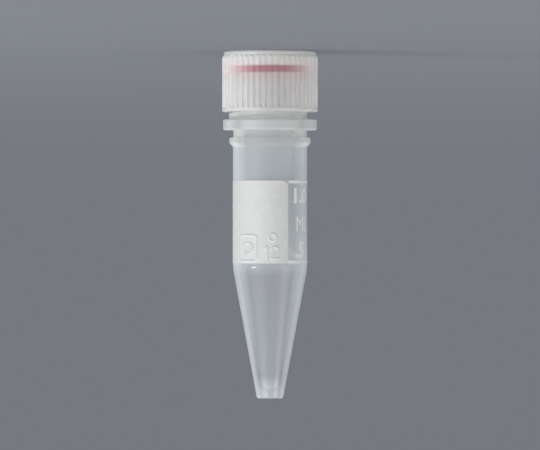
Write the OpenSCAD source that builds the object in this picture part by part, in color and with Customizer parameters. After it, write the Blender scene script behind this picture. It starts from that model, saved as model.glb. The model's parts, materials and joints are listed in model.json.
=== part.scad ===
// Screw-cap micro tube of the 1.5 mL class: a conical polypropylene tube, its ribbed
// screw cap and the silicone washer between them. Millimetres.
// Each piece is drawn with the tube's tip down, with z along the axis and z = 0 at the
// tip. turned_over() then stands the closed vial on its cap, the flat end that it rests
// on: lying on its side it would roll.

/* [Tube] */
// Length of the tube from its tip to its rim
tube_length = 44.7; // [40:0.1:60]
// Outer diameter of the straight body and of the neck
body_d = 10.2; // [8.5:0.1:14]
// Wall thickness
wall = 1; // [0.8:0.05:1.4]
// Height at which the cone would meet the straight body with no blend
cone_height = 17.85; // [12:0.05:22]
// Diameter of the cone's foot
tip_d = 3.6; // [3:0.1:5]
// Thickness of the floor over the tip
floor_thickness = 1.15; // [0.8:0.05:2]
// Radius that blends the cone into the body
shoulder_r = 10; // [4:0.5:14]

/* [Collar and bead] */
// Height of the neck from the collar's top to the rim
neck_height = 6.4; // [5:0.1:9]
// How far the collar stands out from the body
collar_width = 1.35; // [1.2:0.05:1.6]
// Thickness of the collar
collar_thickness = 1.45; // [1:0.05:2]
// Width of the groove between the collar and the bead
groove_height = 1.05; // [0.8:0.05:2]
// How much deeper the groove is than the body's wall
groove_depth = 0.05; // [0:0.01:0.2]
// How far the bead stands out from the body
bead_width = 0.49; // [0.3:0.01:0.8]
// Height of the bead's straight side
bead_height = 0.7; // [0.4:0.05:1]
// Height of the slope under the bead
bead_slope = 0.6; // [0.4:0.05:1]

/* [Thread] */
// Rise of the cap for one turn
pitch = 2; // [1.9:0.05:2.2]
// Height of the neck's thread over the neck
thread_height = 0.55; // [0.4:0.05:0.7]
// Width of a thread ridge at its foot
thread_foot = 1.1; // [0.8:0.05:1.2]
// Width of a thread ridge at its crest
thread_crest = 0.5; // [0.3:0.05:0.6]
// Height over the collar at which the neck's thread begins, at its middle
thread_start = 0.28; // [0.2:0.02:0.6]
// Distance under the rim at which the neck's thread ends, at its middle
neck_thread_stop = 1.32; // [0.8:0.02:2]
// Distance under the washer's seat at which the cap's thread ends, at its middle
cap_thread_stop = 0.71; // [0.7:0.01:1.5]
// Radial gap between a crest and the wall that faces it
thread_gap = 0.1; // [0.05:0.01:0.2]

/* [Cap] */
// Gap between the closed cap's foot and the collar
cap_gap = 1.05; // [0.6:0.05:2]
// Wall behind the cap's bore, under the ribs
cap_wall = 0.6; // [0.5:0.05:1]
// Thickness of the cap over the washer
roof_thickness = 2.12; // [1.6:0.02:3]
// Number of grip ribs
ribs = 48; // [24:1:52]
// How far the ribs stand out
rib_height = 0.225; // [0.15:0.005:0.3]
// Width of a rib at its foot
rib_foot = 0.6; // [0.4:0.05:0.65]
// Width of a rib at its crest
rib_crest = 0.3; // [0.2:0.05:0.4]
// Height of the plain band under the ribs
foot_band = 0.52; // [0.3:0.02:1]
// Height of the plain band over the ribs
top_band = 0.65; // [0.5:0.05:1]
// Diameter of the shallow recess in the cap's top
recess_d = 9.6; // [8:0.1:10]
// Depth of the recess in the cap's top
recess_depth = 0.6; // [0.3:0.05:1]

/* [Washer] */
// Thickness of the washer
washer_thickness = 0.88; // [0.6:0.02:1.2]
// Diameter of the washer's hole
washer_hole = 6.4; // [5:0.1:6.6]
// Gap between the washer and its seat in the cap, all round
washer_gap = 0.1; // [0.05:0.01:0.2]
// How much narrower the washer's seat is than the cap's bore, all round
seat_step = 0.2; // [0.1:0.05:0.3]
// How far the seat's wall reaches down past the washer
seat_skirt = 0.4; // [0.2:0.05:0.5]

/* [Hidden] */
$fn = 96;

// Edge radii, the length over which a rib's upper end is rounded off, and how far a
// rib is sunk into the cap
tip_edge = 0.25;
bead_edge = 0.15;
collar_edge = 0.2;
rim_edge = 0.2;
cap_top_edge = 0.3;
cap_foot_edge = 0.15;
rib_end = 0.45;
rib_root = 0.1;
cap_lead_in = 0.25;

// The tube's radii
body_r = body_d / 2;
bore_r = body_r - wall;
tip_r = tip_d / 2;
groove_r = body_r - groove_depth;
bead_r = body_r + bead_width;
collar_r = body_r + collar_width;

// The tube's heights
rim_z = tube_length;
collar_top = rim_z - neck_height;
collar_bottom = collar_top - collar_thickness;
bead_top = collar_bottom - groove_height;
bead_bottom = bead_top - bead_height - bead_slope;

// The cone: its half angle, and the circle that blends it into the body
cone_angle = atan((body_r - tip_r) / cone_height);
shoulder = [body_r - shoulder_r, cone_height + shoulder_r * tan(cone_angle / 2)];
tip_edge_r = tip_r - tip_edge * (1 - sin(cone_angle)) / cos(cone_angle);
// The ball end of the inside, which the inner cone touches
inner_foot_r = tip_r - wall / cos(cone_angle);
ball_r = (inner_foot_r + floor_thickness * tan(cone_angle)) * cos(cone_angle)
    / (1 - sin(cone_angle));

// The cap's radii
thread_r = body_r + thread_height;
cap_bore_r = thread_r + thread_gap;
cap_thread_r = body_r + thread_gap;
seat_r = cap_bore_r - seat_step;
washer_r = seat_r - washer_gap;
cap_r = cap_bore_r + cap_wall;
rib_r = cap_r + rib_height;

// The closed cap's heights
roof_z = rim_z + washer_thickness;
cap_top = roof_z + roof_thickness;
cap_bottom = collar_top + cap_gap;
ribs_bottom = cap_bottom + foot_band;
ribs_top = cap_top - top_band;
seat_bottom = rim_z - seat_skirt;

// The threads: each ridge is sunk by thread_root into the wall that carries it. It
// starts at thread_end of its height and swells to all of it over thread_ramp degrees.
thread_root = 0.25;
thread_end = 0.15;
thread_ramp = 40;
thread_steps = 40;
// Height of the middle of the neck's ridge at its lower end, and where it starts
neck_thread_z = collar_top + thread_start;
neck_thread_from = 140;
neck_turns = (rim_z - neck_thread_stop - neck_thread_z) / pitch;
// The cap's ridge starts this many degrees further on, half a pitch above the neck's
cap_thread_lag = 110;
cap_thread_z = neck_thread_z + pitch * (0.5 + cap_thread_lag / 360);
cap_thread_from = neck_thread_from + cap_thread_lag;
cap_turns = (seat_bottom - cap_thread_stop - cap_thread_z) / pitch;

// Points of an arc
function arc(centre, r, from, to, steps = 6) =
    [for (i = [0 : steps]) centre + r * polar(from + (to - from) * i / steps)];

function polar(angle) = [cos(angle), sin(angle)];

// Half the angle that a width takes up at a radius
function half_angle(width, r) = asin(width / 2 / r);

// Stands a piece on the cap's top, with the rest of the closed vial
module turned_over() {
    translate([0, 0, cap_top]) rotate([0, 180, 0]) children();
}

// A right-hand thread ridge. Its foot, at radius foot_r, runs on into the wall by
// thread_root, and its crest is at crest_r: further out on a neck, nearer in a cap.
module thread_ridge(foot_r, crest_r, turns, start_z, start_angle) {
    height = crest_r - foot_r;
    outward = sign(height);
    root_r = foot_r - outward * thread_root;
    root_width = thread_foot + (thread_foot - thread_crest) * thread_root / abs(height);
    last = ceil(turns * thread_steps);
    total = 360 * turns;

    function swell(angle) =
        max(thread_end, min(1, angle / thread_ramp, (total - angle) / thread_ramp));
    function section(angle) =
        let (crest = foot_r + height * swell(angle))
        [[root_r, -root_width / 2], [crest, -thread_crest / 2],
         [crest, thread_crest / 2], [root_r, root_width / 2]];

    points = [
        for (i = [0 : last])
            let (angle = total * i / last, way = polar(start_angle + angle))
            for (p = section(angle))
                [p[0] * way[0], p[0] * way[1], start_z + pitch * angle / 360 + p[1]]
    ];
    sides = [
        for (i = [0 : last - 1], k = [0 : 3])
            let (a = 4 * i + k, b = 4 * i + (k + 1) % 4)
            each [[a, b, a + 4], [b, b + 4, a + 4]]
    ];
    ends = [[3, 2, 1, 0], [for (k = [0 : 3]) 4 * last + k]];
    faces = concat(sides, ends);
    turned_over = [for (f = faces) [for (k = [len(f) - 1 : -1 : 0]) f[k]]];
    polyhedron(points, outward > 0 ? faces : turned_over);
}

// The tube: body, bead, collar, neck and inside are one turned section
module tube() {
    section = concat(
        [[0, 0]],
        arc([tip_edge_r, tip_edge], tip_edge, -90, -cone_angle),
        arc(shoulder, shoulder_r, -cone_angle, 0, 8),
        [[body_r, bead_bottom], [bead_r, bead_bottom + bead_slope]],
        arc([bead_r - bead_edge, bead_top - bead_edge], bead_edge, 0, 90),
        [[groove_r, bead_top], [groove_r, collar_bottom]],
        arc([collar_r - collar_edge, collar_bottom + collar_edge], collar_edge, -90, 0),
        arc([collar_r - collar_edge, collar_top - collar_edge], collar_edge, 0, 90),
        [[body_r, collar_top]],
        arc([body_r - rim_edge, rim_z - rim_edge], rim_edge, 0, 90),
        arc([bore_r + rim_edge, rim_z - rim_edge], rim_edge, 90, 180),
        arc(shoulder, shoulder_r - wall, 0, -cone_angle, 8),
        arc([0, floor_thickness + ball_r], ball_r, -cone_angle, -90, 10)
    );
    color([0.80, 0.84, 0.86, 0.7]) turned_over() {
        rotate_extrude() polygon(section);
        thread_ridge(body_r, thread_r, neck_turns, neck_thread_z, neck_thread_from);
    }
}

// The grip ribs, cut to a round outside and with their upper ends rounded off
module cap_ribs() {
    root_r = cap_r - rib_root;
    cut_r = rib_r + rib_root;
    foot = half_angle(rib_foot, cap_r);
    crest = half_angle(rib_crest, cap_r);
    outline = [
        for (i = [0 : ribs - 1])
            let (middle = i * 360 / ribs)
            each [
                root_r * polar(middle - foot), cut_r * polar(middle - crest),
                cut_r * polar(middle + crest), root_r * polar(middle + foot)
            ]
    ];
    inside_r = root_r - rib_root;
    round_outside = concat(
        [[inside_r, ribs_bottom], [rib_r, ribs_bottom]],
        [
            for (a = [0 : 15 : 90])
                [cap_r + rib_height * cos(a), ribs_top - rib_end * (1 - sin(a))]
        ],
        [[inside_r, ribs_top]]
    );
    intersection() {
        translate([0, 0, ribs_bottom]) linear_extrude(ribs_top - ribs_bottom) polygon(outline);
        rotate_extrude() polygon(round_outside);
    }
}

// The cap: roof, skirt, washer seat, ribs and thread
module cap() {
    section = concat(
        [[cap_bore_r + cap_lead_in, cap_bottom]],
        arc([rib_r - cap_foot_edge, cap_bottom + cap_foot_edge], cap_foot_edge, -90, 0),
        [[rib_r, ribs_bottom], [cap_r, ribs_bottom]],
        arc([cap_r - cap_top_edge, cap_top - cap_top_edge], cap_top_edge, 0, 90),
        [[recess_d / 2, cap_top], [recess_d / 2, cap_top - recess_depth], [0, cap_top - recess_depth]],
        [[0, roof_z], [seat_r, roof_z], [seat_r, seat_bottom], [cap_bore_r, seat_bottom]],
        [[cap_bore_r, cap_bottom + cap_lead_in]]
    );
    color([0.88, 0.87, 0.87, 0.85]) turned_over() {
        rotate_extrude() polygon(section);
        cap_ribs();
        thread_ridge(cap_bore_r, cap_thread_r, cap_turns, cap_thread_z, cap_thread_from);
    }
}

// The flat ring that the cap presses on the tube's rim
module seal_washer() {
    color("palevioletred") turned_over() translate([0, 0, rim_z]) difference() {
        cylinder(h = washer_thickness, r = washer_r);
        translate([0, 0, -1]) cylinder(h = washer_thickness + 2, d = washer_hole);
    }
}

tube();
cap();
seal_washer();
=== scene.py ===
"""Looks of the cryovial: a translucent screw-cap tube that stands on its cap.

Every piece is first made the right way up, with the tube's tip at the origin, in
millimetres: x to the right of the writing panel, y away from its reader, z along the axis
towards the cap. place() then turns it over and puts it where the CAD has it, in metres.
The camera is turned over too, so the picture shows the vial with its cap at the top.
"""

import json
import math

import bmesh
import bpy
import numpy as np
from mathutils import Matrix, Vector


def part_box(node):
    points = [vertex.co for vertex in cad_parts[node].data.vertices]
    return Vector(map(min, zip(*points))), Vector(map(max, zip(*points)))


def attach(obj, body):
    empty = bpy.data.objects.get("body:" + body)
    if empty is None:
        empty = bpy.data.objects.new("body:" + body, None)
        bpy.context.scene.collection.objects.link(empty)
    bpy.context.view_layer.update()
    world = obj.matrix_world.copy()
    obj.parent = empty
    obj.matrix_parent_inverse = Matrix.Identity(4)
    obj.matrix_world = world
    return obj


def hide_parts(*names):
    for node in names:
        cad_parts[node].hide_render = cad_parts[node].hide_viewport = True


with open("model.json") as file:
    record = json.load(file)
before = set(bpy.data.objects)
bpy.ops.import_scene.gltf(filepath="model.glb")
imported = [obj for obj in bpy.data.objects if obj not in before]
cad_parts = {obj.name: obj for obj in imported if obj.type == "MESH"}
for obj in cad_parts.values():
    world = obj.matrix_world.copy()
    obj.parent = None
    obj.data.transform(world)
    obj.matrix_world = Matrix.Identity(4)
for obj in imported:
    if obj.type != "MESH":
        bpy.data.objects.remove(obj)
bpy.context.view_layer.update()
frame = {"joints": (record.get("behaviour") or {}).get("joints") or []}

# ---------------------------------------------------------------- sizes, in millimetres

# Tube: the same values as the CAD's
TUBE_LENGTH = 44.7
BODY_R = 5.1
WALL = 1.0
CONE_HEIGHT = 17.85
TIP_R = 1.8
FLOOR_THICKNESS = 1.15
SHOULDER_R = 10.0
NECK_HEIGHT = 6.4
COLLAR_WIDTH = 1.35
COLLAR_THICKNESS = 1.45
GROOVE_HEIGHT = 1.05
GROOVE_DEPTH = 0.05
BEAD_WIDTH = 0.49
BEAD_HEIGHT = 0.7
BEAD_SLOPE = 0.6

# Thread
PITCH = 2.0
THREAD_HEIGHT = 0.55
THREAD_FOOT = 1.1
THREAD_CREST = 0.5
THREAD_START = 0.28
THREAD_GAP = 0.1
NECK_THREAD_STOP = 1.32
CAP_THREAD_STOP = 0.71
THREAD_FROM = 140
CAP_THREAD_LAG = 110
THREAD_RAMP = 40

# Cap
CAP_GAP = 1.05
CAP_WALL = 0.6
ROOF_THICKNESS = 2.12
RIBS = 48
RIB_HEIGHT = 0.225
RIB_FOOT = 0.6
RIB_CREST = 0.3
RIB_RISE = 0.02
FOOT_BAND = 0.52
TOP_BAND = 0.65
RECESS_R = 4.8
RECESS_DEPTH = 0.6

# Washer
WASHER_THICKNESS = 0.88
WASHER_HOLE_R = 3.2
WASHER_GAP = 0.1
SEAT_STEP = 0.2
SEAT_SKIRT = 0.4

# Radii of the rounded edges
TIP_EDGE = 0.25
BEAD_EDGE = 0.15
COLLAR_EDGE = 0.2
RIM_EDGE = 0.2
CAP_TOP_EDGE = 0.3
CAP_FOOT_EDGE = 0.15
RIB_END = 0.45
LEAD_IN = 0.25
WASHER_EDGE = 0.1

# How fine the meshes are: points round each piece, and the rows that form the threads
TUBE_AROUND = 192
CAP_AROUND = RIBS * 10
WASHER_AROUND = 128
NECK_ROW = 0.06
BORE_ROW = 0.08

# Heights and radii that follow from them
COLLAR_R = BODY_R + COLLAR_WIDTH
COLLAR_TOP = TUBE_LENGTH - NECK_HEIGHT
COLLAR_BOTTOM = COLLAR_TOP - COLLAR_THICKNESS
GROOVE_R = BODY_R - GROOVE_DEPTH
BEAD_R = BODY_R + BEAD_WIDTH
BEAD_TOP = COLLAR_BOTTOM - GROOVE_HEIGHT
BEAD_BOTTOM = BEAD_TOP - BEAD_HEIGHT - BEAD_SLOPE
BORE_R = BODY_R - WALL
CONE_ANGLE = math.atan((BODY_R - TIP_R) / CONE_HEIGHT)
SHOULDER = (BODY_R - SHOULDER_R, CONE_HEIGHT + SHOULDER_R * math.tan(CONE_ANGLE / 2))
CAP_BORE_R = BODY_R + THREAD_HEIGHT + THREAD_GAP
CAP_R = CAP_BORE_R + CAP_WALL
RIB_R = CAP_R + RIB_HEIGHT
SEAT_R = CAP_BORE_R - SEAT_STEP
WASHER_R = SEAT_R - WASHER_GAP
ROOF_Z = TUBE_LENGTH + WASHER_THICKNESS
CAP_TOP = ROOF_Z + ROOF_THICKNESS
CAP_BOTTOM = COLLAR_TOP + CAP_GAP
SEAT_BOTTOM = TUBE_LENGTH - SEAT_SKIRT
RIBS_BOTTOM = CAP_BOTTOM + FOOT_BAND
RIBS_TOP = CAP_TOP - TOP_BAND
NECK_THREAD_Z = COLLAR_TOP + THREAD_START
NECK_TURNS = (TUBE_LENGTH - NECK_THREAD_STOP - NECK_THREAD_Z) / PITCH
CAP_THREAD_Z = NECK_THREAD_Z + PITCH * (0.5 + CAP_THREAD_LAG / 360)
CAP_TURNS = (SEAT_BOTTOM - CAP_THREAD_STOP - CAP_THREAD_Z) / PITCH

# Print: left and right ends are angles in degrees from the side that faces the camera, and
# grow to the reader's right
INK = 0.02
INK_SUNK = 0.002
MARK_WIDTH = 0.37
MARK_1_0 = 29.5
MARK_0_5 = 18.57
PANEL_LEFT = -121
PANEL_RIGHT = 28.9
PANEL_CORNER = 0.8
PANEL_ROWS = 150
MARKS_LEFT = PANEL_RIGHT + 1.5
MARKS_RIGHT = 112
DASH = 17.95
DASH_WIDTH = 0.13
DASH_LEFT = -29.5
DASH_RIGHT = -22
LABEL_STRIP = 0.2

# Marks raised under the panel: places are along the wall from the side that faces the
# camera, and up. From the angle RELIEF_LEFT on, the panel's mesh is fine enough to show them.
RAISED = 0.12
RELIEF_LEFT = -69
FRAME_MIDDLE = (-3.2, 20.65)
FRAME_HALF = (1.35, 1.75)
FRAME_CORNER = 0.45
RING_R = 0.72
SMALL_RING_MIDDLE = (0.35, 22.1)
SMALL_RING_R = 0.5
RING_LINE = 0.18
STROKE = 0.2
ONE_AT = (-0.75, 19.2)
TWO_AT = (0.15, 19.2)

# Camera: what it sees, measured where the vial stands
LENS, SENSOR = 300, 36
SEEN_WIDTH = 74.25
SEEN_MIDDLE = 23.8

# Studio
FLOOR_HALF = 3
FLOOR_GREY = (0.235, 0.249, 0.28)
BACKDROP_GREY = (0.18, 0.191, 0.215)
CEILING_WHITE = (0.84, 0.84, 0.84)

# ---------------------------------------------------------------- where the vial stands

MM = 0.001
turning = next(j for j in frame["joints"] if j["name"] == "thread_turn")
AXIS = -Vector(turning["axis"]).normalized()
TIP = Vector((0, 0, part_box("tube")[1].z))
AWAY = Vector((0, 1, 0))
RIGHT = AWAY.cross(AXIS)
TURNED = Matrix((RIGHT, AWAY, AXIS)).transposed()
PLACED = Matrix.Translation(TIP) @ TURNED.to_4x4() @ Matrix.Scale(MM, 4)


# ---------------------------------------------------------------- outlines and meshes


def line(start, end, step=1.0, margin=0.04):
    """Points of a straight stretch, with one close to each end to keep its shading flat."""
    length = math.dist(start, end)
    ways = list(np.linspace(0, length, max(2, round(length / step) + 1)))
    if length > 4 * margin:
        ways[1:1] = [margin]
        ways[-1:-1] = [length - margin]
    start, end = np.array(start, float), np.array(end, float)
    return [tuple(start + (end - start) * w / length) for w in ways]


def arc(centre, radius, start, end, steps=6):
    """Points of an arc between two angles in degrees."""
    angles = np.radians(np.linspace(start, end, steps + 1))
    return [(centre[0] + radius * math.cos(a), centre[1] + radius * math.sin(a)) for a in angles]


def outline(*stretches):
    """One list of points from several stretches, with no point twice in a row."""
    points = []
    for stretch in stretches:
        points += [p for p in stretch if not points or math.dist(p, points[-1]) > 1e-4]
    return np.array(points)


def smooth(x):
    """From 0 to 1 as x goes from 0 to 1, with a soft start and end."""
    x = np.clip(x, 0, 1)
    return x * x * (3 - 2 * x)


def new_object(name, verts, faces):
    """A mesh object in the scene."""
    mesh = bpy.data.meshes.new(name)
    mesh.from_pydata(verts, [], faces)
    mesh.validate()
    obj = bpy.data.objects.new(name, mesh)
    bpy.context.scene.collection.objects.link(obj)
    return obj


def turned(name, points, around, shape=None):
    """A closed outline turned round the z axis. shape(angle, radius, height) moves the wall."""
    angles = np.arange(around) * 2 * math.pi / around
    verts, rows = [], []
    for radius, height in points:
        first = len(verts)
        if radius < 1e-6:
            verts.append((0, 0, height))
            rows.append([first] * around)
            continue
        radii = np.full(around, radius) if shape is None else shape(angles, radius, height)
        verts += [(r * math.cos(a), r * math.sin(a), height) for r, a in zip(radii, angles)]
        rows.append(list(range(first, first + around)))
    faces = []
    for low, high in zip(rows, rows[1:] + rows[:1]):
        for i in range(around):
            j = (i + 1) % around
            face = list(dict.fromkeys((low[i], low[j], high[j], high[i])))
            if len(face) > 2:
                faces.append(face)
    return new_object(name, verts, faces)


def place(obj, body, material, sharp=35):
    """Puts a piece where the CAD has it, and gives it its body, finish and shading."""
    work = bmesh.new()
    work.from_mesh(obj.data)
    bmesh.ops.recalc_face_normals(work, faces=work.faces)
    work.to_mesh(obj.data)
    work.free()
    obj.data.transform(PLACED)
    obj.data.shade_smooth()
    obj.data.set_sharp_from_angle(angle=math.radians(sharp))
    obj.data.materials.append(material)
    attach(obj, body)


def finish_inside(obj, material, first, last):
    """Gives the faces of an inside wall, from first up to last, a finish of their own."""
    obj.data.materials.append(material)
    for face in obj.data.polygons[first:last]:
        face.material_index = 1


# ---------------------------------------------------------------- threads and ribs


def ridge(angle, height, start_z, start_angle, turns):
    """How high a thread ridge stands, from 0 to 1, at each angle of a wall."""
    stands = np.zeros(angle.shape)
    first_turn = (np.degrees(angle) - start_angle) % 360 / 360
    for whole in range(math.ceil(turns) + 1):
        turn = first_turn + whole
        off = np.abs(height - (start_z + PITCH * turn))
        flank = (THREAD_FOOT / 2 - off) / ((THREAD_FOOT - THREAD_CREST) / 2)
        swell = np.minimum(turn, turns - turn) * 360 / THREAD_RAMP
        stands = np.maximum(stands, smooth(flank) * smooth(swell))
    return stands


def neck_shape(angle, radius, height):
    """The neck's thread, on the outer wall over the collar only."""
    if height <= COLLAR_TOP or radius < BODY_R - 1e-6:
        return np.full(angle.shape, radius)
    return radius + THREAD_HEIGHT * ridge(angle, height, NECK_THREAD_Z, THREAD_FROM, NECK_TURNS)


def cap_shape(angle, radius, height):
    """The cap's inner thread and its grip ribs."""
    if abs(radius - CAP_BORE_R) < 1e-6:
        thread_from = THREAD_FROM + CAP_THREAD_LAG
        return radius - THREAD_HEIGHT * ridge(angle, height, CAP_THREAD_Z, thread_from, CAP_TURNS)
    if radius <= CAP_R or not RIBS_BOTTOM < height < RIBS_TOP:
        return np.full(angle.shape, radius)
    off = np.abs((angle * RIBS / (2 * math.pi) + 0.5) % 1 - 0.5) * 2 * math.pi * CAP_R / RIBS
    rib = smooth((RIB_FOOT / 2 - off) / ((RIB_FOOT - RIB_CREST) / 2))
    return CAP_R + (radius - CAP_R) * rib


# ---------------------------------------------------------------- pieces


def make_tube():
    """The tube and its threaded neck. Its inside ends in a ball that touches cone and floor."""
    cone = math.degrees(CONE_ANGLE)
    tip_edge_r = TIP_R - TIP_EDGE * (1 - math.sin(CONE_ANGLE)) / math.cos(CONE_ANGLE)
    inner_foot_r = TIP_R - WALL / math.cos(CONE_ANGLE)
    ball_r = inner_foot_r + FLOOR_THICKNESS * math.tan(CONE_ANGLE)
    ball_r *= math.cos(CONE_ANGLE) / (1 - math.sin(CONE_ANGLE))
    edge_r = COLLAR_R - COLLAR_EDGE
    tip = arc((tip_edge_r, TIP_EDGE), TIP_EDGE, -90, -cone)
    shoulder = arc(SHOULDER, SHOULDER_R, -cone, 0, 16)
    bead = arc((BEAD_R - BEAD_EDGE, BEAD_TOP - BEAD_EDGE), BEAD_EDGE, 0, 90)
    collar_low = arc((edge_r, COLLAR_BOTTOM + COLLAR_EDGE), COLLAR_EDGE, -90, 0)
    collar_high = arc((edge_r, COLLAR_TOP - COLLAR_EDGE), COLLAR_EDGE, 0, 90)
    rim_out = arc((BODY_R - RIM_EDGE, TUBE_LENGTH - RIM_EDGE), RIM_EDGE, 0, 90)
    rim_in = arc((BORE_R + RIM_EDGE, TUBE_LENGTH - RIM_EDGE), RIM_EDGE, 90, 180)
    inner_shoulder = arc(SHOULDER, SHOULDER_R - WALL, 0, -cone, 16)
    bottom = arc((0, FLOOR_THICKNESS + ball_r), ball_r, -cone, -90, 14)
    outside = outline(
        line((0, 0), tip[0], 0.5),
        tip,
        line(tip[-1], shoulder[0]),
        shoulder,
        line(shoulder[-1], (BODY_R, BEAD_BOTTOM)),
        line((BODY_R, BEAD_BOTTOM), (BEAD_R, BEAD_BOTTOM + BEAD_SLOPE), 0.2),
        line((BEAD_R, BEAD_BOTTOM + BEAD_SLOPE), bead[0], 0.2),
        bead,
        line(bead[-1], (GROOVE_R, BEAD_TOP), 0.2),
        line((GROOVE_R, BEAD_TOP), (GROOVE_R, COLLAR_BOTTOM), 0.3),
        line((GROOVE_R, COLLAR_BOTTOM), collar_low[0], 0.3),
        collar_low,
        line(collar_low[-1], collar_high[0], 0.3),
        collar_high,
        line(collar_high[-1], (BODY_R, COLLAR_TOP), 0.3),
        line((BODY_R, COLLAR_TOP), rim_out[0], NECK_ROW),
        rim_out,
        line(rim_out[-1], rim_in[0], 0.2),
    )
    inside = outline(
        rim_in,
        line(rim_in[-1], inner_shoulder[0]),
        inner_shoulder,
        line(inner_shoulder[-1], bottom[0]),
        bottom,
    )
    obj = turned("tube_moulding", outline(outside, inside), TUBE_AROUND, neck_shape)
    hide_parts("tube")
    place(obj, "tube", tube_plastic())
    finish_inside(obj, tube_plastic(inside=True), len(outside) * TUBE_AROUND, None)


def make_cap():
    """The ribbed cap, with its thread, the washer's seat and the recess in its top."""
    foot_r = RIB_R - CAP_FOOT_EDGE
    foot = arc((foot_r, CAP_BOTTOM + CAP_FOOT_EDGE), CAP_FOOT_EDGE, -90, 0)
    rib_tops = [
        (CAP_R + RIB_HEIGHT * math.cos(a), RIBS_TOP - RIB_END * (1 - math.sin(a)))
        for a in np.radians(np.linspace(0, 90, 7))
    ]
    top = arc((CAP_R - CAP_TOP_EDGE, CAP_TOP - CAP_TOP_EDGE), CAP_TOP_EDGE, 0, 90)
    recess_z = CAP_TOP - RECESS_DEPTH
    inside = outline(
        line((0, ROOF_Z), (SEAT_R, ROOF_Z), 1.8),
        line((SEAT_R, ROOF_Z), (SEAT_R, SEAT_BOTTOM), 0.4),
        line((SEAT_R, SEAT_BOTTOM), (CAP_BORE_R, SEAT_BOTTOM), 0.1),
        line((CAP_BORE_R, SEAT_BOTTOM), (CAP_BORE_R, CAP_BOTTOM + LEAD_IN), BORE_ROW),
        line((CAP_BORE_R, CAP_BOTTOM + LEAD_IN), (CAP_BORE_R + LEAD_IN, CAP_BOTTOM), 0.1),
    )
    outside = outline(
        line((CAP_BORE_R + LEAD_IN, CAP_BOTTOM), foot[0], 0.3),
        foot,
        line(foot[-1], (RIB_R, RIBS_BOTTOM), 0.2),
        line((RIB_R, RIBS_BOTTOM + RIB_RISE), rib_tops[0], 2.0),
        rib_tops,
        line(rib_tops[-1], top[0], 0.2),
        top,
        line(top[-1], (RECESS_R, CAP_TOP), 0.5),
        line((RECESS_R, CAP_TOP), (RECESS_R, recess_z), 0.3),
        line((RECESS_R, recess_z), (0, recess_z), 1.6),
    )
    obj = turned("cap_moulding", outline(inside, outside), CAP_AROUND, cap_shape)
    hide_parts("cap")
    place(obj, "cap", cap_plastic())
    finish_inside(obj, cap_plastic(inside=True), 0, (len(inside) - 1) * CAP_AROUND)


def make_washer():
    """The flat ring between the tube's rim and the cap's roof."""
    inner, outer = WASHER_HOLE_R + WASHER_EDGE, WASHER_R - WASHER_EDGE
    low, high = TUBE_LENGTH + WASHER_EDGE, ROOF_Z - WASHER_EDGE
    points = outline(
        arc((outer, low), WASHER_EDGE, -90, 0, 4),
        arc((outer, high), WASHER_EDGE, 0, 90, 4),
        arc((inner, high), WASHER_EDGE, 90, 180, 4),
        arc((inner, low), WASHER_EDGE, 180, 270, 4),
    )
    obj = turned("seal_washer_ring", points, WASHER_AROUND)
    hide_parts("seal_washer")
    place(obj, "seal", silicone())


# ---------------------------------------------------------------- print


def on_wall(angle, height, lift):
    """Points on the tube's outer wall, from its shoulder up, or lift over it."""
    reach = np.sqrt(SHOULDER_R**2 - np.clip(SHOULDER[1] - height, 0, None) ** 2)
    radius = SHOULDER[0] + reach + lift
    a = np.radians(angle)
    return np.stack([radius * np.sin(a), -radius * np.cos(a), height + 0 * a], axis=-1)


def film(name, material, angles, low, high, rows=3, relief=None):
    """A closed film of ink on the wall, from height low to height high at each angle.

    relief(angle, height) says how much further than plain ink the film stands out.
    """
    ways = np.linspace(0, 1, rows)
    height = low[:, None] + (high - low)[:, None] * ways
    angle = np.repeat(angles[:, None], rows, axis=1)
    lift = INK if relief is None else INK + relief(angle, height)
    verts = np.stack([on_wall(angle, height, -INK_SUNK), on_wall(angle, height, lift)])
    under, over = np.arange(verts[..., 0].size).reshape(verts.shape[:-1])
    faces = []
    for sheet in (under, over):
        corners = (sheet[:-1, :-1], sheet[1:, :-1], sheet[1:, 1:], sheet[:-1, 1:])
        faces += np.stack(corners, axis=-1).reshape(-1, 4).tolist()
    for edge in (np.s_[0, :], np.s_[-1, :], np.s_[:, 0], np.s_[:, -1]):
        a, b = under[edge], over[edge]
        faces += np.stack((a[:-1], a[1:], b[1:], b[:-1]), axis=-1).tolist()
    obj = new_object(name, verts.reshape(-1, 3).tolist(), faces)
    place(obj, "tube", material, sharp=60)


def make_mark(name, left, right, low, width):
    """A line round the wall, such as those that give a volume, with a point every 3 degrees."""
    angles = np.linspace(left, right, max(4, round((right - left) / 3)))
    ends = np.full(angles.shape, low)
    film(name, line_ink(), angles, ends, ends + width)


def frame_ridge(across, height, centre, half_size, corner, width):
    """How high a raised line round a rounded rectangle stands, from 0 to 1."""
    beyond_x = np.abs(across - centre[0]) - half_size[0] + corner
    beyond_z = np.abs(height - centre[1]) - half_size[1] + corner
    outside = np.hypot(np.clip(beyond_x, 0, None), np.clip(beyond_z, 0, None))
    inside = np.clip(np.maximum(beyond_x, beyond_z), None, 0)
    return smooth(1 - np.abs(outside + inside - corner) / width)


def ring_ridge(across, height, centre, radius):
    """How high a raised ring stands, from 0 to 1."""
    return frame_ridge(across, height, centre, (radius, radius), radius, RING_LINE)


def stroke_ridge(across, height, start, points):
    """How high a raised line along points stands, from 0 to 1. The points count from start."""
    stands = np.zeros(across.shape)
    for (x, z), (next_x, next_z) in zip(points, points[1:]):
        run, rise = next_x - x, next_z - z
        from_x, from_z = across - start[0] - x, height - start[1] - z
        way = np.clip((from_x * run + from_z * rise) / (run**2 + rise**2), 0, 1)
        off = np.hypot(from_x - way * run, from_z - way * rise)
        stands = np.maximum(stands, smooth(1 - off / STROKE))
    return stands


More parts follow.
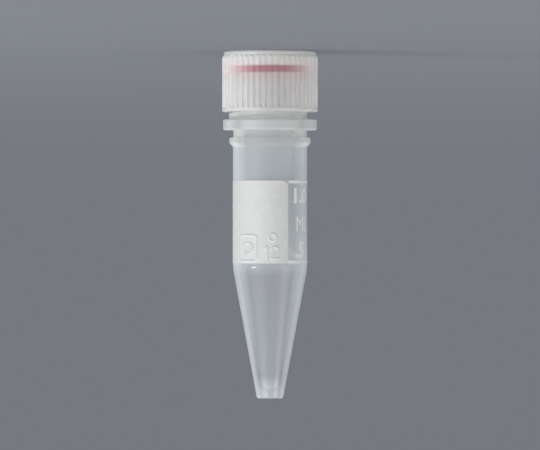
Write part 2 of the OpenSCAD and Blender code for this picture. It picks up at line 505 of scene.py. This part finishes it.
def panel_relief(angle, height):
    """The mould's raised marks and its cavity number, which show through the panel's foot."""
    across = np.radians(angle) * BODY_R
    one = [(0, 1.35), (0.35, 1.65), (0.35, 0)]
    two = [*arc((0.5, 1.15), 0.5, 170, -30), (0, 0), (1.05, 0)]
    marks = [
        frame_ridge(across, height, FRAME_MIDDLE, FRAME_HALF, FRAME_CORNER, STROKE),
        ring_ridge(across, height, FRAME_MIDDLE, RING_R),
        ring_ridge(across, height, SMALL_RING_MIDDLE, SMALL_RING_R),
        stroke_ridge(across, height, ONE_AT, one),
        stroke_ridge(across, height, TWO_AT, two),
    ]
    return (RAISED - INK) * np.max(marks, axis=0)


def make_panel():
    """The white writing panel. Its upper right corner is rounded, and its left end is at the back."""
    corner_start = PANEL_RIGHT - math.degrees(PANEL_CORNER / BODY_R)
    side = np.linspace(PANEL_LEFT, RELIEF_LEFT - 1, 30)
    front = np.linspace(RELIEF_LEFT, corner_start, 100)
    corner = corner_start + (PANEL_RIGHT - corner_start) * np.sin(np.radians([15, 30, 45, 60, 75, 88]))
    angles = np.concatenate((side, front, corner))
    into = np.clip(angles - corner_start, 0, None) / (PANEL_RIGHT - corner_start)
    drop = PANEL_CORNER * (1 - np.sqrt(1 - into**2))
    low = np.full(angles.shape, MARK_0_5 + 0.01)  # so that no face lies in one of the .5 line's
    high = MARK_1_0 + MARK_WIDTH - drop
    film("print_panel", panel_ink(), angles, low, high, PANEL_ROWS, panel_relief)


def make_label(name, text, left, low, height, width, bold):
    """Printed characters, bent round the wall. left is an angle, and bold thickens their strokes."""
    curve = bpy.data.curves.new(name, "FONT")
    curve.body = text
    curve.offset = bold
    curve.extrude = 0.5
    flat = bpy.data.objects.new(name + "_flat", curve)
    mesh = bpy.data.meshes.new_from_object(flat)
    bpy.data.objects.remove(flat)
    work = bmesh.new()
    work.from_mesh(mesh)
    bmesh.ops.remove_doubles(work, verts=work.verts, dist=1e-5)
    bmesh.ops.triangulate(work, faces=work.faces)
    places = np.array([v.co for v in work.verts])
    start = places.min(axis=0)
    scale = np.array((width, height, INK + INK_SUNK)) / np.ptp(places, axis=0)
    for v in work.verts:
        v.co = Vector((np.array(v.co) - start) * scale)
    for cut in np.arange(LABEL_STRIP, width, LABEL_STRIP):
        everything = work.verts[:] + work.edges[:] + work.faces[:]
        bmesh.ops.bisect_plane(work, geom=everything, plane_co=(cut, 0, 0), plane_no=(1, 0, 0))
    for v in work.verts:
        angle = left + math.degrees(v.co.x / BODY_R)
        v.co = Vector(on_wall(angle, low + v.co.y, v.co.z - INK_SUNK))
    work.to_mesh(mesh)
    work.free()
    obj = bpy.data.objects.new(name, mesh)
    bpy.context.scene.collection.objects.link(obj)
    place(obj, "tube", line_ink())


def make_print():
    """The panel, the two volume lines, the dash and the volume figures.

    A figure has the angle of its left edge, its foot, height, width and boldness.
    """
    make_panel()
    make_mark("mark_1_0", MARKS_LEFT, MARKS_RIGHT, MARK_1_0, MARK_WIDTH)
    make_mark("mark_0_5", PANEL_LEFT, MARKS_RIGHT, MARK_0_5, MARK_WIDTH)
    # A short white dash under the panel, made as a film of the lines' white ink
    make_mark("dash_under_panel", DASH_LEFT, DASH_RIGHT, DASH, DASH_WIDTH)
    make_label("label_1_0", "1.0", 40, 26.75, 2.15, 3.0, 0.04)
    make_label("label_ml", "ML", 45.4, 22.95, 2.05, 2.7, 0)
    make_label("label_0_5", ".5", 42.5, 19.35, 2.2, 2.0, 0.035)


# ---------------------------------------------------------------- materials


def new_material(name):
    """A material, with a function that adds nodes to it and one that feeds its shader."""
    made = bpy.data.materials.new(name)
    made.use_nodes = True
    tree = made.node_tree

    def feed(node, key, value):
        if isinstance(value, bpy.types.NodeSocket):
            tree.links.new(value, node.inputs[key])
        else:
            node.inputs[key].default_value = value

    def add(kind, inputs=(), **settings):
        node = tree.nodes.new(kind)
        for key, value in settings.items():
            setattr(node, key, value)
        for key, value in dict(inputs).items():
            feed(node, key, value)
        return node

    def give(key, value):
        feed(tree.nodes["Principled BSDF"], key, value)

    return made, add, give


def upright(add, stretch=(1, 1, 1)):
    """Each point's place in millimetres, as if the vial stood on its tip, times stretch."""
    point = add(
        "ShaderNodeMapping",
        {
            "Vector": add("ShaderNodeTexCoord").outputs["Object"],
            "Location": TIP,
            "Rotation": TURNED.to_euler(),
            "Scale": (MM, MM, MM),
        },
        vector_type="TEXTURE",
    )
    return add("ShaderNodeVectorMath", {0: point.outputs[0], 1: stretch}, operation="MULTIPLY").outputs[0]


def noise(add, point, scale, detail=3.0):
    """A noise from 0 to 1, mostly in its middle."""
    return add("ShaderNodeTexNoise", {"Vector": point, "Scale": scale, "Detail": detail}).outputs["Fac"]


def between(add, factor, low, high):
    """A number from low to high, as factor goes over the middle of a noise's range."""
    inputs = {"Value": factor, "From Min": 0.3, "From Max": 0.7, "To Min": low, "To Max": high}
    return add("ShaderNodeMapRange", inputs).outputs["Result"]


def tint(add, factor, dark, light):
    """A colour between two, by a noise."""
    ramp = add("ShaderNodeValToRGB", {"Fac": factor})
    ramp.color_ramp.elements[0].position = 0.3
    ramp.color_ramp.elements[1].position = 0.7
    ramp.color_ramp.elements[0].color = (*dark, 1)
    ramp.color_ramp.elements[1].color = (*light, 1)
    return ramp.outputs["Color"]


def by_height(add, stops):
    """A colour that goes from stop to stop along the axis. Each stop is a height and a colour."""
    level = add("ShaderNodeSeparateXYZ", {"Vector": upright(add)}).outputs["Z"]
    share = add("ShaderNodeMath", {0: level, 1: CAP_TOP}, operation="DIVIDE").outputs[0]
    ramp = add("ShaderNodeValToRGB", {"Fac": share})
    elements = ramp.color_ramp.elements
    while len(elements) < len(stops):
        elements.new(1)
    for element, (height, colour) in zip(elements, stops):
        element.position = height / CAP_TOP
        element.color = (*colour, 1)
    return ramp.outputs["Color"]


def outward(add):
    """The direction straight out from the axis, in which ribs and bumps make no difference."""
    point = add("ShaderNodeTexCoord").outputs["Object"]
    level = [1 - abs(part) for part in AXIS]
    out = add("ShaderNodeVectorMath", {0: point, 1: level}, operation="MULTIPLY").outputs[0]
    spaces = {"vector_type": "NORMAL", "convert_from": "OBJECT", "convert_to": "WORLD"}
    return add("ShaderNodeVectorTransform", {"Vector": out}, **spaces).outputs[0]


def bump(add, height, strength, distance):
    """A surface direction that follows height, with bumps up to distance millimetres high."""
    inputs = {"Height": height, "Strength": strength, "Distance": distance * MM}
    return add("ShaderNodeBump", inputs).outputs["Normal"]


def polypropylene(name, milk, slants, colours, rough, soft, grain, painted_glow, inside):
    """Natural polypropylene: satin, with flow lines along the axis.

    milk lists heights, and how much of the light a wall stops there when seen square on and
    when skimmed, because thick stretches are whiter. slants are where the one starts to turn
    into the other and where it ends, from 0 to 1. An inside wall stops the same at any slant
    and doesn't shine. rough is a range of roughness, soft how much light spreads under the
    surface, and grain how fine its texture is. glow lists heights, and a tint painted into
    the base colour there: painted light that stands in for what bright neighbours lend the
    plastic.
    """
    made, add, give = new_material(name)
    clouds = noise(add, upright(add), 0.45)
    flow = noise(add, upright(add, (1, 1, 0.06)), 1.6)
    texture = noise(add, upright(add), grain, 2.0)
    # The base colour is the plastic's own tint by a noise, times a tint painted by height that stands in
    # for light from bright neighbours
    both = {0: tint(add, clouds, *colours), 1: by_height(add, painted_glow)}
    give("Base Color", add("ShaderNodeVectorMath", both, operation="MULTIPLY").outputs[0])
    give("Roughness", between(add, flow, *rough))
    height = add("ShaderNodeMath", {0: texture, 1: flow}, operation="ADD").outputs[0]
    give("Normal", bump(add, height, 0.35, 0.002))
    give("IOR", 1.49)
    give("Specular IOR Level", 0 if inside else 1)
    give("Subsurface Weight", soft)
    give("Subsurface Radius", (1, 1, 1))
    give("Subsurface Scale", 2 * MM)
    stops = by_height(add, [(height, (square_on, skimmed, 0)) for height, square_on, skimmed in milk])
    stopped = add("ShaderNodeSeparateColor", {"Color": stops}).outputs
    slant = add("ShaderNodeLayerWeight", {"Blend": 0.5, "Normal": outward(add)}).outputs["Facing"]
    most = stopped["Red"] if inside else stopped["Green"]
    ends = {"From Min": slants[0], "From Max": slants[1], "To Min": stopped["Red"], "To Max": most}
    give("Alpha", add("ShaderNodeMapRange", {"Value": slant, **ends}).outputs["Result"])
    return made


def tube_plastic(inside=False):
    """Clear in the cone, milkier in the thick tip and the collar, and painted warm where the cap is near,
    as painted light that the cap lends it.
    """
    milk = [
        (0, 0.4, 0.65),
        (3, 0.11, 0.5),
        (CONE_HEIGHT - 1, 0.09, 0.5),
        (MARK_0_5 + 1, 0.23, 0.74),
        (COLLAR_BOTTOM - 0.05, 0.21, 0.73),
        (COLLAR_BOTTOM + 0.05, 0.38, 0.75),
        (COLLAR_TOP - 0.05, 0.38, 0.75),
        (COLLAR_TOP + 0.05, 0.35, 0.8),
    ]
    # Painted light: a warm tint painted into the base colour from the bead up, for the light the cap
    # lends the tube
    warm = (1, 0.97, 0.94)
    painted_glow = [(BEAD_BOTTOM - 0.5, (1, 1, 1)), (BEAD_TOP, warm), (COLLAR_TOP, warm)]
    return polypropylene(
        "tube_inside" if inside else "tube_polypropylene",
        milk,
        slants=(0.2, 0.5),
        colours=((0.85, 0.91, 0.93), (0.89, 0.94, 0.96)),
        rough=(0.28, 0.38),
        soft=0,
        grain=6.0,
        painted_glow=painted_glow,
        inside=inside,
    )


def cap_plastic(inside=False):
    """Milky, but clearer where the washer is behind it, and painted pink there, as painted light for the
    washer's colour that scatters in the plastic.
    """
    milk = [
        (TUBE_LENGTH - 0.15, 0.6, 0.9),
        (TUBE_LENGTH + 0.05, 0.22, 0.95),
        (ROOF_Z - 0.05, 0.22, 0.95),
        (ROOF_Z + 0.1, 0.85, 0.97),
    ]
    white = (1, 1, 1)
    # Painted light: a pink tint painted into the base colour round the washer, stronger on the inside
    # faces, for the washer's colour scattered in the cap
    pink = (1, 0.62, 0.64) if inside else (1, 0.88, 0.89)
    painted_glow = [(TUBE_LENGTH - 1.5, white), (TUBE_LENGTH, pink), (ROOF_Z, pink), (ROOF_Z + 1, white)]
    return polypropylene(
        "cap_inside" if inside else "cap_polypropylene",
        milk,
        slants=(0.05, 0.45),
        colours=((0.92, 0.905, 0.885), (0.955, 0.94, 0.92)),
        rough=(0.34, 0.46),
        soft=0.8,
        grain=9.0,
        painted_glow=painted_glow,
        inside=inside,
    )


def silicone():
    """Pink silicone rubber, matt and slightly uneven."""
    made, add, give = new_material("pink_silicone")
    point = upright(add)
    give("Base Color", tint(add, noise(add, point, 1.2), (0.93, 0.11, 0.27), (1, 0.15, 0.33)))
    give("Roughness", between(add, noise(add, point, 3.0), 0.5, 0.62))
    give("Normal", bump(add, noise(add, point, 8.0), 0.4, 0.01))
    return made


def ink(name, dark, light, rough):
    """Screen-printed ink, with the faint weave of the screen."""
    made = bpy.data.materials.get(name)
    if made:
        return made
    made, add, give = new_material(name)
    point = upright(add)
    give("Base Color", tint(add, noise(add, point, 0.8), dark, light))
    give("Roughness", between(add, noise(add, point, 5.0), *rough))
    weave = [
        add("ShaderNodeTexWave", {"Vector": point, "Scale": 2.6}, bands_direction=way).outputs["Fac"]
        for way in ("X", "Z")
    ]
    height = add("ShaderNodeMath", {0: weave[0], 1: weave[1]}, operation="ADD").outputs[0]
    give("Normal", bump(add, height, 0.25, 0.004))
    return made


def panel_ink():
    """Matt, so that it takes a pen."""
    return ink("panel_ink", (0.75, 0.76, 0.76), (0.8, 0.805, 0.8), (0.55, 0.7))


def line_ink():
    """Whiter and smoother, for the lines and figures."""
    return ink("line_ink", (0.93, 0.935, 0.935), (0.97, 0.975, 0.97), (0.35, 0.5))


# ---------------------------------------------------------------- studio


def make_floor():
    """A wide matt floor, as grey as the world beyond its edge."""
    corners = [(x * FLOOR_HALF, y * FLOOR_HALF, 0) for x, y in ((-1, -1), (1, -1), (1, 1), (-1, 1))]
    floor = new_object("floor", corners, [(0, 1, 2, 3)])
    made, _, give = new_material("floor_grey")
    give("Base Color", (*FLOOR_GREY, 1))
    give("Roughness", 1)
    give("Specular IOR Level", 0)
    floor.data.materials.append(made)


def make_softbox(name, location, size, watts, colour=(1, 1, 1), only_glints=False):
    """A square lamp that faces the vial and that the camera doesn't see.

    One that only_glints is seen in glossy surfaces, and gives no other light.
    """
    light = bpy.data.lights.new(name, "AREA")
    light.shape = "SQUARE"
    light.size = size
    light.energy = watts
    light.color = colour
    lamp = bpy.data.objects.new(name, light)
    lamp.location = location
    lamp.rotation_mode = "QUATERNION"
    lamp.rotation_quaternion = (-lamp.location).to_track_quat("-Z", "Y")
    lamp.visible_camera = False
    lamp.visible_diffuse = not only_glints
    bpy.context.scene.collection.objects.link(lamp)


def make_world():
    """Even grey up to a little over the horizon, and a bright ceiling above it."""
    world = bpy.data.worlds.new("studio")
    world.use_nodes = True
    tree = world.node_tree
    direction = tree.nodes.new("ShaderNodeTexCoord")
    height = tree.nodes.new("ShaderNodeSeparateXYZ")
    ramp = tree.nodes.new("ShaderNodeValToRGB")
    ramp.color_ramp.elements[0].position = 0.2
    ramp.color_ramp.elements[1].position = 0.45
    ramp.color_ramp.elements[0].color = (*BACKDROP_GREY, 1)
    ramp.color_ramp.elements[1].color = (*CEILING_WHITE, 1)
    tree.links.new(direction.outputs["Generated"], height.inputs["Vector"])
    tree.links.new(height.outputs["Z"], ramp.inputs["Fac"])
    tree.links.new(ramp.outputs["Color"], tree.nodes["Background"].inputs["Color"])
    bpy.context.scene.world = world


def make_lights():
    """Soft light from all round. The two glints draw the soft streaks on the cone."""
    make_world()
    make_softbox("key", (0.34, -0.17, 0.07), 0.24, 0.85, (0.99, 1, 0.98))
    make_softbox("fill", (-0.1, -0.8, 0.3), 0.4, 0.85, (1, 0.98, 0.95))
    make_softbox("side_fill", (-0.5, -0.4, 0.15), 0.4, 0.58, (1, 0.95, 0.87))
    make_softbox("glint", (-0.358, -0.311, 0.193), 0.17, 1.6, (1, 0.95, 0.87), True)
    make_softbox("left_glint", (0.292, -0.373, 0.193), 0.3, 2.4, (1, 1, 1), True)
    # Without a tone curve, the greys come out as they are set
    bpy.context.scene.view_settings.view_transform = "Standard"


def make_camera():
    """Looks level and square at the vial's axis, from far enough to see its sides as straight."""
    camera = bpy.data.objects.new("camera", bpy.data.cameras.new("camera"))
    bpy.context.scene.collection.objects.link(camera)
    camera.data.lens = LENS
    camera.data.sensor_width = SENSOR
    camera.data.clip_start, camera.data.clip_end = 0.05, 10
    distance = SEEN_WIDTH * MM * LENS / SENSOR
    camera.location = PLACED @ Vector((0, 0, SEEN_MIDDLE)) - AWAY * distance
    camera.rotation_mode = "QUATERNION"
    camera.rotation_quaternion = Matrix((RIGHT, AXIS, -AWAY)).transposed().to_quaternion()
    bpy.context.scene.camera = camera


make_tube()
make_cap()
make_washer()
make_print()
make_floor()
make_lights()
make_camera()
